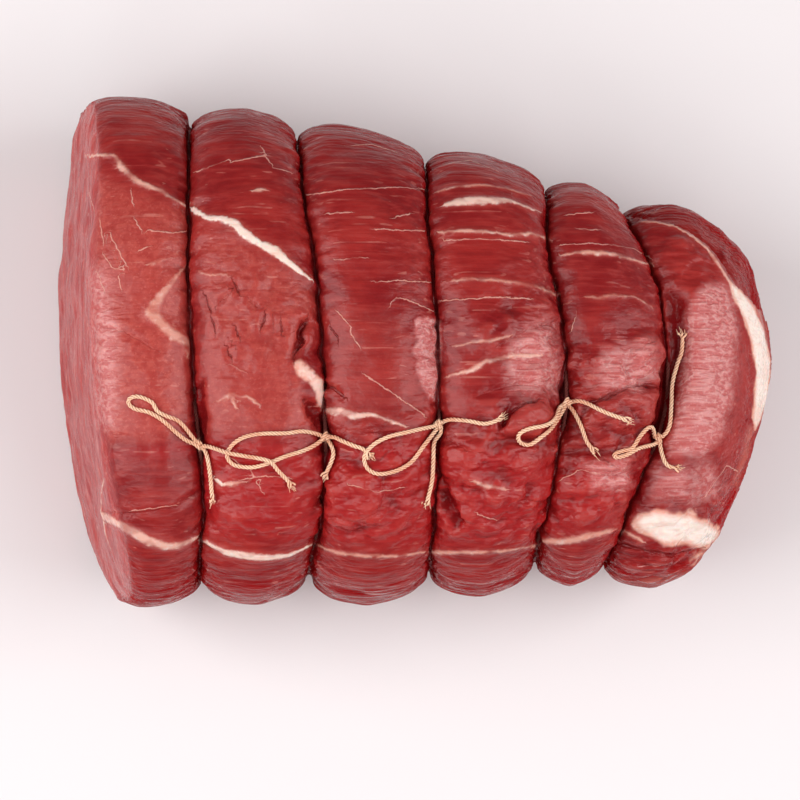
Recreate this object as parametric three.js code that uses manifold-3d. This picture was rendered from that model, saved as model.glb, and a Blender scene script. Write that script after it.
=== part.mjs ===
// A raw beef joint, rolled and tied with five rounds of butcher's twine, lying on its flat underside.
// Millimetres, +Z up. +X runs from the slanted cut end to the rounded nose, +Y to the far side.
import * as THREE from "three";
import { mergeVertices } from "three/addons/utils/BufferGeometryUtils.js";
import Module from "manifold-3d";

// Envelope of the meat at equal stations along X: reach to either side and height above the table.
const FIRST_STATION = -90;
const STATION_STEP = 40;
const FAR_REACH = [72.5, 68.5, 61.5, 53, 42.5];
const NEAR_REACH = [75.5, 75, 74, 71, 69.5];
const TOP_HEIGHT = [88, 93, 92, 88, 79];
const BELLY_HEIGHT = 40; // level of the widest girth
const UNDERSIDE_SAG = 4; // how much of the round underside the table flattens
const TOP_ROUNDNESS = 2.5; // superellipse exponents: 2 is an ellipse, more is boxier
const UNDERSIDE_ROUNDNESS = 3;

// Slanted cut end: it leans back towards the top and bows out in plan.
const CUT_FOOT_X = -106;
const CUT_LEAN = 0.2; // run in X for each unit of height
const CUT_BOW = { far: 3, near: 9.6 };
const CUT_BOW_CENTRE = 8;
const CUT_BOW_REACH = 65;
const CUT_EDGE_ROUND = 5;

// Rounded nose at the other end.
const NOSE_START_X = 62;
const NOSE_TIP_X = 106;
const NOSE_TIP_Y = 5;
const NOSE_TIP_Z = 37;

// The twine ties. Crossings are the groove's X at every 30 degrees from the far side over the top to
// the near side; underneath it runs straight. The knot's angle is 0 at the far side and 90 on top.
// Bows and tails are plan offsets from the knot, with an extra lift where they lie over other twine.
const CROSSING_TURNS = 12;
const TIES = [
  {
    crossings: [-63, -62.8, -62, -61, -57.6, -59.2, -59.8],
    knot: 110,
    bow: [[-4.4, 6.1], [-8.7, 8.6], [-13.4, 11.1], [-17.6, 13.1], [-20.2, 12], [-17.6, 10], [-7.6, 4.2]],
    tails: [
      [[1.3, -4.7], [2.1, -9.7], [2.6, -16.5]],
      [[6, -2, 2.1], [13.1, -3.7, 2.1], [19.2, -5.4, 2.1], [22.3, -9.2, 1], [25.9, -11.9]],
    ],
  },
  {
    crossings: [-32, -31, -28.4, -24, -23.2, -26.8, -29],
    knot: 107,
    bow: [[-13.9, 1.2], [-20.8, 0], [-25.6, -1.5], [-27.6, -4.2], [-25, -7.6], [-18.9, -8.4], [-7.5, -4.8]],
    tails: [
      [[1.7, -5], [0.8, -9.1], [-1.2, -12.4]],
      [[4.2, -2.3], [8.6, -3.2]],
    ],
  },
  {
    crossings: [4.5, 5.3, 6, 8.6, 8.5, 6.9, 6.4],
    knot: 103,
    bow: [[-8.2, -2.8], [-14.8, -5], [-19.6, -8.7], [-21, -11.8], [-19.6, -15], [-15, -15], [-4.8, -7.5]],
    tails: [
      [[-1.1, -6.4], [-2, -13.3], [-3.7, -22.5]],
      [[6.6, 0.3], [13.1, -0.2], [17, 1.4]],
    ],
  },
  {
    crossings: [40, 40, 40.6, 44.8, 41.2, 37.4, 37.2],
    knot: 96,
    bow: [[-3.8, -4.9], [-7.3, -8], [-11.8, -11.5], [-14.4, -10.4], [-11.8, -7.8], [-6.7, -5.6]],
    tails: [
      [[3.2, -5.3], [5.4, -9.9], [7.2, -12.9]],
      [[5.5, 0], [11.4, -2.1], [17.4, -5.1]],
    ],
  },
  {
    crossings: [62, 64, 71, 74, 65.6, 59.7, 57],
    knot: 103,
    bow: [[-4.5, -2.9], [-8.9, -5.3], [-12.9, -7.1], [-14, -5.4], [-10.3, -3.5], [-5.4, 0.7]],
    tails: [
      [[2.6, 5.7], [4, 14.9], [6.3, 23.4], [8.3, 30.3]],
      [[1.5, -5.6], [2.8, -8.3], [4.7, -8.6]],
    ],
  },
];
const TWINE_RADIUS = 0.8;
const TWINE_SIDES = 5;
const TWINE_GAP = 0.4;
const RING_STEPS = 54;
const STRAND_STEP = 3.2;
const STRAND_FOOT = 2.2; // strands bridge dips in the meat narrower than twice this
const KNOT_RADIUS = 1.9;
const KNOT_HALF_HEIGHT = 1.3;
const KNOT_LIFT = 0.6;
const KNOT_RISE_DEGREES = 5; // how far round the joint the tie climbs out of its groove to the knot

// Grooves that the twine presses into the meat.
const GROOVE_FLOOR_HALF = 1.2;
const GROOVE_WALL = 0.9;
const GROOVE_CUT_DEPTH = 2.6;
const LOBE_HALF_LENGTH = 15;
const LOBE_FALL = { top: 2.6, far: 2.4, near: 3.6, under: 1 };

// Bulges of the lower muscles that stand out below the nose.
const BULGES = [
  { x: 86, angle: 10, height: 2, length: 13, spreadDegrees: 18 },
  { x: 85, angle: 195, height: 5, length: 13, spreadDegrees: 22 },
];

const SEGMENTS = 64;
const NOSE_RINGS = 7;
const CUT_FACE_RINGS = [0.93, 0.65, 0.33];

const radians = THREE.MathUtils.degToRad;

function smoothAlong(values) {
  const points = values.map((value, i) => new THREE.Vector2(FIRST_STATION + i * STATION_STEP, value));
  const curve = new THREE.SplineCurve(points);
  const span = STATION_STEP * (values.length - 1);
  return (x) => curve.getPoint(THREE.MathUtils.clamp((x - FIRST_STATION) / span, 0, 1)).y;
}

const farReach = smoothAlong(FAR_REACH);
const nearReach = smoothAlong(NEAR_REACH);
const topHeight = smoothAlong(TOP_HEIGHT);

// The groove's X by its turn round the joint: smooth through its crossings and straight underneath.
function grooveCurve({ crossings }) {
  const last = crossings.length - 1;
  const points = [];
  for (let i = 0; i <= CROSSING_TURNS; i += 1) {
    const back = (i - last) / (CROSSING_TURNS - last);
    const x = i <= last ? crossings[i] : THREE.MathUtils.lerp(crossings[last], crossings[0], back);
    points.push(new THREE.Vector2(i, x));
  }
  return new THREE.SplineCurve(points);
}

const grooveCurves = new Map(TIES.map((tie) => [tie, grooveCurve(tie)]));

function grooveX(tie, angle) {
  const turn = angle / (2 * Math.PI);
  return grooveCurves.get(tie).getPoint(turn - Math.floor(turn)).y;
}

function angleBetween(a, b) {
  return Math.abs(Math.atan2(Math.sin(a - b), Math.cos(a - b)));
}

// How far the lobes fall towards a groove, which is most on the sides and least underneath.
function lobeFall(angle) {
  const upright = Math.sin(angle);
  const end = upright > 0 ? LOBE_FALL.top : LOBE_FALL.under;
  const side = Math.cos(angle) > 0 ? LOBE_FALL.far : LOBE_FALL.near;
  return THREE.MathUtils.lerp(side, end, upright * upright);
}

// Depth of the meat's surface below its envelope: round lobes with a narrow cut between them.
function grooveDepth(x, angle) {
  const distance = Math.min(...TIES.map((tie) => Math.abs(x - grooveX(tie, angle))));
  const beside = Math.max(0, distance - GROOVE_FLOOR_HALF);
  const fall = lobeFall(angle) * Math.max(0, 1 - beside / LOBE_HALF_LENGTH) ** 2.2;
  const cut = GROOVE_CUT_DEPTH * (1 - THREE.MathUtils.smoothstep(beside, 0, GROOVE_WALL));
  return fall + cut;
}

function bulgeHeight(x, angle) {
  let height = 0;
  for (const bulge of BULGES) {
    const along = (x - bulge.x) / bulge.length;
    const round = angleBetween(angle, radians(bulge.angle)) / radians(bulge.spreadDegrees);
    height += bulge.height * Math.exp(-along * along - round * round);
  }
  return height;
}

// Share of the full section that is left at x, where the nose rounds off.
function noseShare(x) {
  const run = THREE.MathUtils.clamp((x - NOSE_START_X) / (NOSE_TIP_X - NOSE_START_X), 0, 1);
  return { run, share: Math.sqrt(1 - run * run) };
}

// A point of the envelope at x and its outward direction, in the plane across the joint.
function envelope(x, angle) {
  const { run, share } = noseShare(x);
  const far = farReach(x);
  const near = nearReach(x);
  const halfWidth = ((far + near) / 2) * share;
  const centreY = THREE.MathUtils.lerp((far - near) / 2, NOSE_TIP_Y, run ** 3);
  const centreZ = THREE.MathUtils.lerp(BELLY_HEIGHT, NOSE_TIP_Z, run);
  const cos = Math.cos(angle);
  const sin = Math.sin(angle);
  const upper = sin >= 0;
  const halfHeight = (upper ? topHeight(x) - BELLY_HEIGHT : BELLY_HEIGHT + UNDERSIDE_SAG) * share;
  const power = 2 / (upper ? TOP_ROUNDNESS : UNDERSIDE_ROUNDNESS);
  const y = centreY + halfWidth * Math.sign(cos) * Math.abs(cos) ** power;
  const z = centreZ + halfHeight * Math.sign(sin) * Math.abs(sin) ** power;
  const outY = (Math.sign(cos) * Math.abs(cos) ** (2 - power)) / Math.max(halfWidth, 1e-6);
  const outZ = (Math.sign(sin) * Math.abs(sin) ** (2 - power)) / Math.max(halfHeight, 1e-6);
  const out = z > 0 ? new THREE.Vector2(outY, outZ).normalize() : new THREE.Vector2(0, -1);
  return { y, z: Math.max(z, 0), out };
}

function meatPoint(x, angle, lift = 0) {
  const { y, z, out } = envelope(x, angle);
  const rise = (bulgeHeight(x, angle) - grooveDepth(x, angle)) * noseShare(x).share ** 0.5 + lift;
  return new THREE.Vector3(x, y + out.x * rise, Math.max(z + out.y * rise, 0));
}

function cutFaceX(y, z) {
  const bow = y > CUT_BOW_CENTRE ? CUT_BOW.far : CUT_BOW.near;
  return CUT_FOOT_X + CUT_LEAN * z + bow * ((y - CUT_BOW_CENTRE) / CUT_BOW_REACH) ** 2;
}

// The edge of the cut end at an angle: the envelope meets the face a little rounded over.
function cutEdgeX(angle) {
  let x = CUT_FOOT_X;
  for (let pass = 0; pass < 6; pass += 1) {
    const { y, z } = envelope(x, angle);
    x = cutFaceX(y, z);
  }
  return x;
}

// X of every ring of the body at an angle, from the cut end to the tip of the nose.
function ringStops(angle) {
  const edge = cutEdgeX(angle);
  const stops = [edge + CUT_EDGE_ROUND];
  const half = GROOVE_FLOOR_HALF;
  const offsets = [half + 5, half + GROOVE_WALL + 0.4, half + 0.5 * GROOVE_WALL, half - 0.1];
  let before = stops[0];
  TIES.forEach((tie, i) => {
    const centre = grooveX(tie, angle);
    const first = centre - offsets[0];
    const shares = i === 0 ? [0.35, 0.7] : [0.5];
    for (const share of shares) stops.push(THREE.MathUtils.lerp(before, first, share));
    for (const offset of offsets) stops.push(centre - offset);
    for (const offset of offsets.toReversed()) stops.push(centre + offset);
    before = centre + offsets[0];
  });
  for (let i = 1; i < NOSE_RINGS; i += 1) {
    const turn = (i / NOSE_RINGS) * (Math.PI / 2);
    stops.push(THREE.MathUtils.lerp(before, NOSE_TIP_X, Math.sin(turn)));
  }
  return stops;
}

// The rings of points from the middle of the cut face over the body to the tip of the nose.
function meatRings() {
  const columns = [];
  for (let j = 0; j < SEGMENTS; j += 1) {
    const angle = (j / SEGMENTS) * 2 * Math.PI;
    const edge = cutEdgeX(angle);
    const rim = meatPoint(edge, angle, -CUT_EDGE_ROUND * 0.35);
    const column = [];
    for (const share of CUT_FACE_RINGS.toReversed()) {
      const y = THREE.MathUtils.lerp(0, rim.y, share);
      const z = THREE.MathUtils.lerp(BELLY_HEIGHT, rim.z, share);
      column.push(new THREE.Vector3(cutFaceX(y, z), y, z));
    }
    column.push(new THREE.Vector3(edge + CUT_EDGE_ROUND * 0.2, rim.y, rim.z));
    for (const x of ringStops(angle)) column.push(meatPoint(x, angle));
    columns.push(column);
  }
  return columns;
}

// Closed surface over columns of points that all run from one pole to the other.
function loft(columns, firstPole, lastPole) {
  const rings = columns[0].length;
  const points = [firstPole, lastPole, ...columns.flat()];
  const at = (j, i) => 2 + (j % columns.length) * rings + i;
  const faces = [];
  for (let j = 0; j < columns.length; j += 1) {
    faces.push(0, at(j + 1, 0), at(j, 0));
    for (let i = 0; i < rings - 1; i += 1) {
      faces.push(at(j, i), at(j + 1, i), at(j, i + 1));
      faces.push(at(j + 1, i), at(j + 1, i + 1), at(j, i + 1));
    }
    faces.push(1, at(j, rings - 1), at(j + 1, rings - 1));
  }
  return new THREE.BufferGeometry().setFromPoints(points).setIndex(faces);
}

const beef = new THREE.MeshStandardMaterial({ color: "#a23a38", roughness: 0.4, metalness: 0 });
const cotton = new THREE.MeshStandardMaterial({ color: "#ecc9a4", roughness: 0.9, metalness: 0 });

const cutMiddle = new THREE.Vector3(cutFaceX(0, BELLY_HEIGHT), 0, BELLY_HEIGHT);
const noseTip = new THREE.Vector3(NOSE_TIP_X, NOSE_TIP_Y, NOSE_TIP_Z);
const meat = new THREE.Mesh(loft(meatRings(), cutMiddle, noseTip), beef);
meat.name = "meat";

// Height at which a strand rests on the meat, bridging narrow dips.
const raycaster = new THREE.Raycaster();
const down = new THREE.Vector3(0, 0, -1);
function restHeight(x, y) {
  let height = 0;
  for (let i = 0; i <= 8; i += 1) {
    const reach = i === 0 ? 0 : STRAND_FOOT;
    const turn = (i / 8) * 2 * Math.PI;
    const above = new THREE.Vector3(x + reach * Math.cos(turn), y + reach * Math.sin(turn), 200);
    raycaster.set(above, down);
    const [hit] = raycaster.intersectObject(meat);
    if (hit) height = Math.max(height, hit.point.z);
  }
  return height + TWINE_RADIUS + TWINE_GAP;
}

const wasm = await Module();
wasm.setup();

function solid(geometry) {
  geometry.deleteAttribute("normal");
  geometry.deleteAttribute("uv");
  const welded = mergeVertices(geometry, 1e-4);
  const vertProperties = new Float32Array(welded.attributes.position.array);
  const triVerts = new Uint32Array(welded.index.array);
  return new wasm.Manifold(new wasm.Mesh({ numProp: 3, vertProperties, triVerts }));
}

function twineTube(points) {
  const section = new THREE.Shape();
  for (let i = 0; i < TWINE_SIDES; i += 1) {
    const turn = (i / TWINE_SIDES) * 2 * Math.PI;
    const corner = [TWINE_RADIUS * Math.cos(turn), TWINE_RADIUS * Math.sin(turn)];
    if (i === 0) section.moveTo(...corner);
    else section.lineTo(...corner);
  }
  const extrudePath = new THREE.CatmullRomCurve3(points);
  const steps = points.length - 1;
  return solid(new THREE.ExtrudeGeometry(section, { steps, bevelEnabled: false, extrudePath }));
}

// Points of a loose strand that lies on the meat along plan offsets from the knot.
function strandPoints(knot, offsets) {
  const plan = offsets.map(([x, y, lift = 0]) => new THREE.Vector3(knot.x + x, knot.y + y, lift));
  const curve = new THREE.CatmullRomCurve3(plan);
  const points = curve.getSpacedPoints(Math.ceil(curve.getLength() / STRAND_STEP));
  return points.map(({ x, y, z }) => new THREE.Vector3(x, y, restHeight(x, y) + z));
}

// The round of twine in its groove, climbing to the knot at both ends.
function ringPoints(tie, knot) {
  const start = radians(tie.knot);
  const points = [];
  for (let i = 0; i <= RING_STEPS; i += 1) {
    const angle = start + (i / RING_STEPS) * 2 * Math.PI;
    const inGroove = meatPoint(grooveX(tie, angle), angle, TWINE_RADIUS + TWINE_GAP);
    const climb = Math.exp(-((angleBetween(angle, start) / radians(KNOT_RISE_DEGREES)) ** 2));
    points.push(inGroove.lerp(knot, climb));
  }
  return points;
}

function tieSolid(tie) {
  const angle = radians(tie.knot);
  const { x, y } = meatPoint(grooveX(tie, angle), angle);
  const knot = new THREE.Vector3(x, y, restHeight(x, y) + KNOT_LIFT);
  const ring = ringPoints(tie, knot);
  const half = Math.round(RING_STEPS / 2);
  const start = [0, 0, KNOT_LIFT];
  const bow = strandPoints(knot, [start, ...tie.bow, start]);
  const tip = Math.round(bow.length / 2);
  const runs = [ring.slice(0, half + 2), ring.slice(half), bow.slice(0, tip + 2), bow.slice(tip)];
  for (const tail of tie.tails) runs.push(strandPoints(knot, [start, ...tail]));
  const ball = new THREE.SphereGeometry(KNOT_RADIUS, 6, 4).scale(1, 1, KNOT_HALF_HEIGHT / KNOT_RADIUS);
  ball.translate(knot.x, knot.y, knot.z);
  return runs.reduce((joined, run) => joined.add(twineTube(run)), solid(ball));
}

function toGeometry(manifold) {
  const { vertProperties, triVerts } = manifold.getMesh();
  const geometry = new THREE.BufferGeometry();
  geometry.setAttribute("position", new THREE.BufferAttribute(new Float32Array(vertProperties), 3));
  return geometry.setIndex(new THREE.BufferAttribute(new Uint32Array(triVerts), 1));
}

const joint = new THREE.Group();
joint.add(meat);
TIES.forEach((tie, i) => {
  const twine = new THREE.Mesh(toGeometry(tieSolid(tie)), cotton);
  twine.name = `twine_${i + 1}`;
  joint.add(twine);
});

// The whole stands centred over the origin.
const middle = new THREE.Box3().setFromObject(joint).getCenter(new THREE.Vector3());
for (const mesh of joint.children) mesh.geometry.translate(-middle.x, -middle.y, 0);

export default joint;
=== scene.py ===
import math

import bpy
import numpy as np
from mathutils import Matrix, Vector, noise
from mathutils.bvhtree import BVHTree


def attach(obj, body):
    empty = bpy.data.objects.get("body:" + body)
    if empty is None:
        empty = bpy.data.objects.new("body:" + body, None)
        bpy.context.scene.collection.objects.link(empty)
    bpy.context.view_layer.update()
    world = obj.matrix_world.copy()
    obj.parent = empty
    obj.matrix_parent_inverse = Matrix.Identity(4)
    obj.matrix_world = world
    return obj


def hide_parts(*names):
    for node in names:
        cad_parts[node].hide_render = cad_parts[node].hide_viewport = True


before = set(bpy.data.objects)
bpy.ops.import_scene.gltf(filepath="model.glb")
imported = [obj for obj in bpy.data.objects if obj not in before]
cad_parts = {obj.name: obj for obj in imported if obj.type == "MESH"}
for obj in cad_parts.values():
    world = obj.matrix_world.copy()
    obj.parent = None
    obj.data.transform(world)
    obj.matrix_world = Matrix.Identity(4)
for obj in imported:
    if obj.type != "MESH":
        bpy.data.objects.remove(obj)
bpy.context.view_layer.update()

# The photograph's view: the joint seen almost straight down, in millimetres and degrees.
IMAGE_SIDE = 800
CAMERA_AIM = np.array([-2.65, -13.15, 25.0])
CAMERA_ELEVATION = 85.3
CAMERA_DISTANCE = 1100.0
PIXEL_AT_AIM = 0.2963
SENSOR = 36.0

# The joint's own measures, as in its solid before that is centred over the origin.
CENTRING = np.array([-0.452, 1.447, 0.0])
FIRST_STATION, STATION_SPAN = -90.0, 160.0
FAR_REACH = [72.5, 68.5, 61.5, 53, 42.5]
NEAR_REACH = [75.5, 75, 74, 71, 69.5]
TOP_HEIGHT = [88, 93, 92, 88, 79]
BELLY_HEIGHT, UNDERSIDE_SAG = 40.0, 4.0
TOP_ROUNDNESS, UNDERSIDE_ROUNDNESS = 2.5, 3.0
NOSE_START_X, NOSE_TIP_X, NOSE_TIP_Y, NOSE_TIP_Z = 62.0, 106.0, 5.0, 37.0
GROOVE_CUT_DEPTH = 2.6
LOBE_FALL = {"top": 2.6, "far": 2.4, "near": 3.6, "under": 1.0}

# Ties: groove X at every 30 degrees from the far side over the top, knot angle, bow and tails in plan.
TIES = [
    {"crossings": [-63, -62.8, -62, -61, -57.6, -59.2, -59.8], "knot": 110,
     "bow": [(-2, 2.6), (-3.9, 5), (-5.9, 6.8), (-8.6, 7.8), (-11.4, 9.3), (-12.8, 11.6), (-16.2, 13.2),
             (-18.7, 13), (-19.5, 11.6), (-17.6, 9.9), (-14.2, 9.1), (-11.2, 7.6), (-8.6, 5.6), (-6.2, 3.4),
             (-3.3, 1.2)],
     "tails": [[(1.4, -1), (2.4, -3.2), (3.2, -8.2), (3.6, -13), (3.9, -15.8)],
               [(3.2, -0.6, 0.6), (8.1, -2.4, 1.3), (12.3, -3.3, 1.3), (17.8, -4.3, 1.3), (20.4, -5.2, 1.3),
                (22.3, -7.4, 0.5), (24.8, -9.9), (26.2, -11.8)]]},
    {"crossings": [-32, -31, -28.4, -24, -23.2, -26.8, -29], "knot": 107,
     "bow": [(-3, 1.0), (-6.7, 1.4), (-10.9, 0.8), (-17.8, 0.6), (-22.7, -0.4), (-25.9, -2.5),
             (-27.3, -5.3), (-25.5, -7.8), (-21.3, -8.6), (-17.8, -8.2), (-14.4, -7), (-10.9, -5.6),
             (-6.7, -4.2), (-3.2, -2.5)],
     "tails": [[(1, -1.1), (2.2, -3.9), (1.7, -6.7), (-0.4, -11.2)],
               [(2.4, 0), (5.2, -1.4), (8.6, -2.8), (10.6, -3.5), (12.8, -5.6)]]},
    {"crossings": [4.5, 5.3, 6, 8.6, 8.5, 6.9, 6.4], "knot": 103,
     "bow": [(-3.1, -1), (-8.6, -2.4), (-14.2, -3.8), (-18.4, -6), (-20.9, -9.1), (-20.1, -12.5),
             (-17, -14.1), (-12.1, -13.2), (-7.9, -10.7), (-4.5, -6.3), (-1.4, -2.1)],
     "tails": [[(0.4, -2.1), (-1.4, -4.9), (-1.7, -9.8), (-2, -15.3), (-3.1, -20.2, -0.3),
                (-3.6, -22.2, -1.0)],
               [(2.5, 1.3), (8.1, 0.8), (12.5, 0), (15.8, 0.8, -0.4), (17.9, 2.1, -1.4)]]},
    {"crossings": [40, 40, 40.6, 44.8, 41.2, 37.4, 37.2], "knot": 96,
     "bow": [(-2, -1.4), (-3.3, -4.6), (-5.9, -6.7), (-10.7, -7.8), (-13.5, -9.2), (-13.5, -11.2),
             (-10.7, -12), (-7.2, -9.8), (-4.5, -7.4), (-1.7, -3.2)],
     "tails": [[(1.8, -1.8), (3.9, -6), (5.6, -10.6), (7, -12.5), (8.2, -13.8)],
               [(2.8, 0.7), (5.6, 0), (9.5, -2.2), (13, -3.6), (17.6, -5)]]},
    {"crossings": [62, 64, 71, 74, 65.6, 59.7, 57], "knot": 103,
     "bow": [(-1, -1.7), (-5.9, -3.3), (-9.3, -5.2), (-12.5, -6.1), (-13.1, -5.2), (-10.7, -4.2),
             (-7.9, -3.3), (-5.6, 0), (-3.3, 2.5), (-1.7, 2.5), (-1.2, 0.6)],
     "tails": [[(1.8, 1.1), (3.2, 3.9), (3.8, 10.2), (4.2, 15.8), (5.6, 21.3), (6.8, 24.8), (7.1, 30)],
               [(0.4, -1.7), (1.1, -5.2), (2.5, -7.9), (5.6, -8.6)]]},
]

# Half width of a groove's mouth in the solid, how far the lobes fall towards it, and the mesh's step.
LIP, SHOULDER_FALL, MESH_STEP = 2.1, 1.6, 1.12

# Twine of three plies, and how far its rounds sink below the solid's grooves into the soft meat.
TWINE_RADIUS, PLY_RADIUS, PLY_OFFSET, PLY_PITCH = 0.62, 0.28, 0.34, 3.4
ROUND_SINK = 2.0

# Fat seams: how white each is, and the pixels it passes with half its width in millimetres.
FAT_SEAMS = [
    (.5, [(86, 156, .4), (100, 155, .5), (114, 156, .6), (120, 165, .9), (130, 177, .9), (145, 185, .7),
          (160, 191, .7), (175, 200, .5), (185, 206, .4)]),
    (.8, [(193, 209, .8), (205, 217, .7), (222, 219, .8), (235, 224, 1.1), (247, 235, 1.1), (262, 245, 1.0),
          (277, 252, 1.3), (290, 264, .9), (310, 279, .4)]),
    (.35, [(186, 265, .3), (172, 282, .7), (160, 297, 1.0), (152, 312, 1.7), (162, 325, 1.4),
           (175, 335, 1.6), (185, 342, 1.4), (187, 352, .9)]),
    (.6, [(327, 411, 1.0), (340, 412, 1.2), (357, 416, .9), (372, 414, .5), (390, 421, .5),
          (405, 426, .3)]),
    (.55, [(104, 515, 1.7), (117, 522, 1.5), (132, 531, 1.4), (150, 541, 1.5), (165, 545, 1.3),
           (180, 545, 1.0), (190, 541, .8), (197, 537, .5)]),
    (.6, [(104, 480, .3), (101, 495, .4), (103, 515, .7), (106, 535, .5), (110, 547, .3)]),
    (.7, [(200, 539, .5), (212, 546, .9), (230, 553, 1.2), (250, 556, 1.3), (270, 557, 1.1), (287, 555, .8),
          (300, 550, .5), (311, 545, .4)]),
    (.4, [(315, 544, .4), (335, 552, .6), (365, 556, .7), (395, 556, .6), (425, 552, .4)]),
    (.4, [(432, 552, .6), (452, 552, .7), (477, 552, .6), (502, 551, .7), (527, 547, .6), (540, 544, .5)]),
    (.4, [(545, 541, .9), (567, 540, 1.0), (587, 536, 1.1), (612, 530, .8)]),
    (.65, [(445, 205, .5), (460, 202, 1.1), (477, 201, 1.4), (497, 201, 1.0), (510, 201, .6),
           (540, 212, .2)]),
    (.3, [(437, 192, .3), (452, 187, .4), (480, 185, .5), (507, 189, .4), (530, 196, .3)]),
    (.5, [(440, 233, .4), (465, 231, .6), (490, 232, .4), (510, 235, .4), (530, 234, .6), (550, 239, .3)]),
    (.4, [(445, 282, .2), (470, 279, .5), (497, 280, .4), (520, 284, .6), (542, 289, .7), (556, 295, .5)]),
    (.4, [(455, 346, .2), (475, 342, .5), (490, 341, .6), (510, 336, .4)]),
    (.5, [(447, 377, .3), (470, 370, .6), (485, 362, .7), (510, 356, .7), (540, 355, .4)]),
    (.45, [(562, 255, .3), (587, 252, .6), (612, 254, .7), (630, 259, .4), (652, 265, .3)]),
    (.4, [(587, 297, .3), (600, 299, .6), (612, 295, .5), (635, 297, .3), (652, 307, .2)]),
    (.5, [(475, 482, .4), (487, 486, .8), (505, 489, .4)]),
    (.5, [(640, 222, .2), (655, 222, .3), (675, 226, .4), (692, 236, .5), (708, 250, .6), (720, 267, .6),
          (730, 284, .7)]),
    (.45, [(620, 530, .5), (630, 534, .6), (642, 540, .5)]),
    (.45, [(217, 402, .2), (230, 395, .8), (240, 397, .3), (247, 396, .5), (259, 405, .2)]),
    (.45, [(230, 395, .7), (236, 407, .3)]),
    (.5, [(225, 484, .4), (234, 483, .7), (244, 482, .3)]),
    (.8, [(216, 480, .5), (222, 484, .6)]),
    (.4, [(200, 272, .4), (210, 275, .3), (227, 275, .3)]),
    (.5, [(254, 191, .3), (260, 190, .6), (266, 190, .3)]),
    (.4, [(150, 264, .4), (158, 262, .5), (166, 259, .3)]),
]

# Thin pale threads of connective tissue by pixel.
THREADS = [
    [(88, 190), (94, 210)], [(100, 220), (103, 243)], [(110, 235), (120, 252), (126, 265)],
    [(135, 220), (141, 229)], [(131, 192), (133, 203)], [(150, 230), (170, 233), (186, 231)],
    [(104, 255), (112, 268), (124, 270)], [(140, 250), (148, 247)], [(97, 272), (104, 290)],
    [(118, 276), (121, 288)], [(196, 172), (214, 165), (228, 160)], [(232, 162), (250, 158), (266, 155)],
    [(262, 148), (268, 160), (274, 166)], [(307, 195), (340, 190), (377, 188), (402, 187), (427, 190)],
    [(376, 229), (402, 230), (424, 231)], [(395, 217), (410, 214)], [(327, 214), (350, 212)],
    [(335, 260), (365, 257)], [(375, 282), (400, 280), (430, 282)],
    [(390, 305), (397, 296), (407, 300), (420, 305), (435, 312)],
    [(337, 312), (352, 327), (350, 332), (359, 346)], [(345, 146), (372, 144), (395, 152)],
    [(445, 240), (482, 239), (507, 240), (525, 242)], [(442, 301), (470, 299), (502, 297), (530, 299)],
    [(580, 229), (597, 230)], [(567, 215), (590, 212)], [(571, 330), (577, 312)],
    [(445, 164), (470, 160), (500, 172)], [(132, 511), (150, 509), (175, 505)], [(477, 514), (495, 520)],
    [(705, 497), (716, 480), (727, 465), (737, 471)], [(230, 365), (245, 372)],
    [(365, 375), (395, 395), (425, 415)], [(275, 168), (290, 172)], [(240, 480), (265, 476), (290, 478)],
    [(225, 455), (250, 470), (262, 492)], [(562, 245), (585, 243), (612, 245), (635, 249), (650, 258)],
    [(350, 485), (375, 492), (402, 488)], [(560, 480), (580, 470), (600, 474)],
]

# Creases and nicks: depth and half width in millimetres, and the pixels each passes.
CREASES = [
    (.9, .3, [(333, 330), (337, 338)]), (.6, .3, [(318, 505), (324, 497), (326, 488)]),
    (.9, .3, [(213, 322), (214, 330)]), (.9, .3, [(205, 297), (210, 310)]),
    (.9, .3, [(265, 315), (262, 327)]), (.9, .3, [(281, 322), (282, 331)]),
    (.9, .3, [(236, 330), (238, 336)]), (.9, .3, [(228, 350), (230, 357)]),
    (.9, .3, [(235, 284), (238, 292)]), (.7, .3, [(250, 300), (256, 306)]),
    (.7, .3, [(222, 300), (228, 295)]),
    (.5, .25, [(105, 327), (125, 332), (140, 340), (150, 347), (160, 351)]),
    (1.2, .6, [(306, 322), (298, 334), (303, 342), (296, 350), (294, 358)]),
    (1.0, .5, [(323, 384), (332, 388), (342, 396)]),
    (.8, .6, [(438, 470), (446, 488), (452, 505), (462, 520)]),
    (1.3, .7, [(590, 402), (607, 397), (622, 388), (640, 384), (655, 386)]),
    (1.2, .6, [(503, 424), (510, 412), (520, 404), (534, 400)]),
    (.8, .4, [(655, 340), (645, 344), (634, 350)]), (.8, .4, [(664, 356), (652, 360), (640, 368)]),
    (.7, .4, [(595, 452), (606, 460), (618, 466)]), (.6, .3, [(512, 505), (525, 500), (540, 503)]),
    (.8, .5, [(384, 478), (385, 496), (378, 514), (356, 524), (332, 518)]),
    (.9, .6, [(620, 545), (645, 552), (675, 556), (700, 548)]),
    (.6, .4, [(625, 560), (650, 567), (680, 564)]),
    (.5, .25, [(105, 512), (132, 514), (150, 512), (175, 508), (197, 493)]),
    (.6, .3, [(345, 432), (370, 430), (392, 436)]), (.5, .3, [(450, 440), (470, 452), (490, 456)]),
    (.5, .3, [(500, 345), (525, 330), (556, 322)]), (.5, .3, [(480, 395), (510, 385), (545, 382)]),
]

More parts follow.
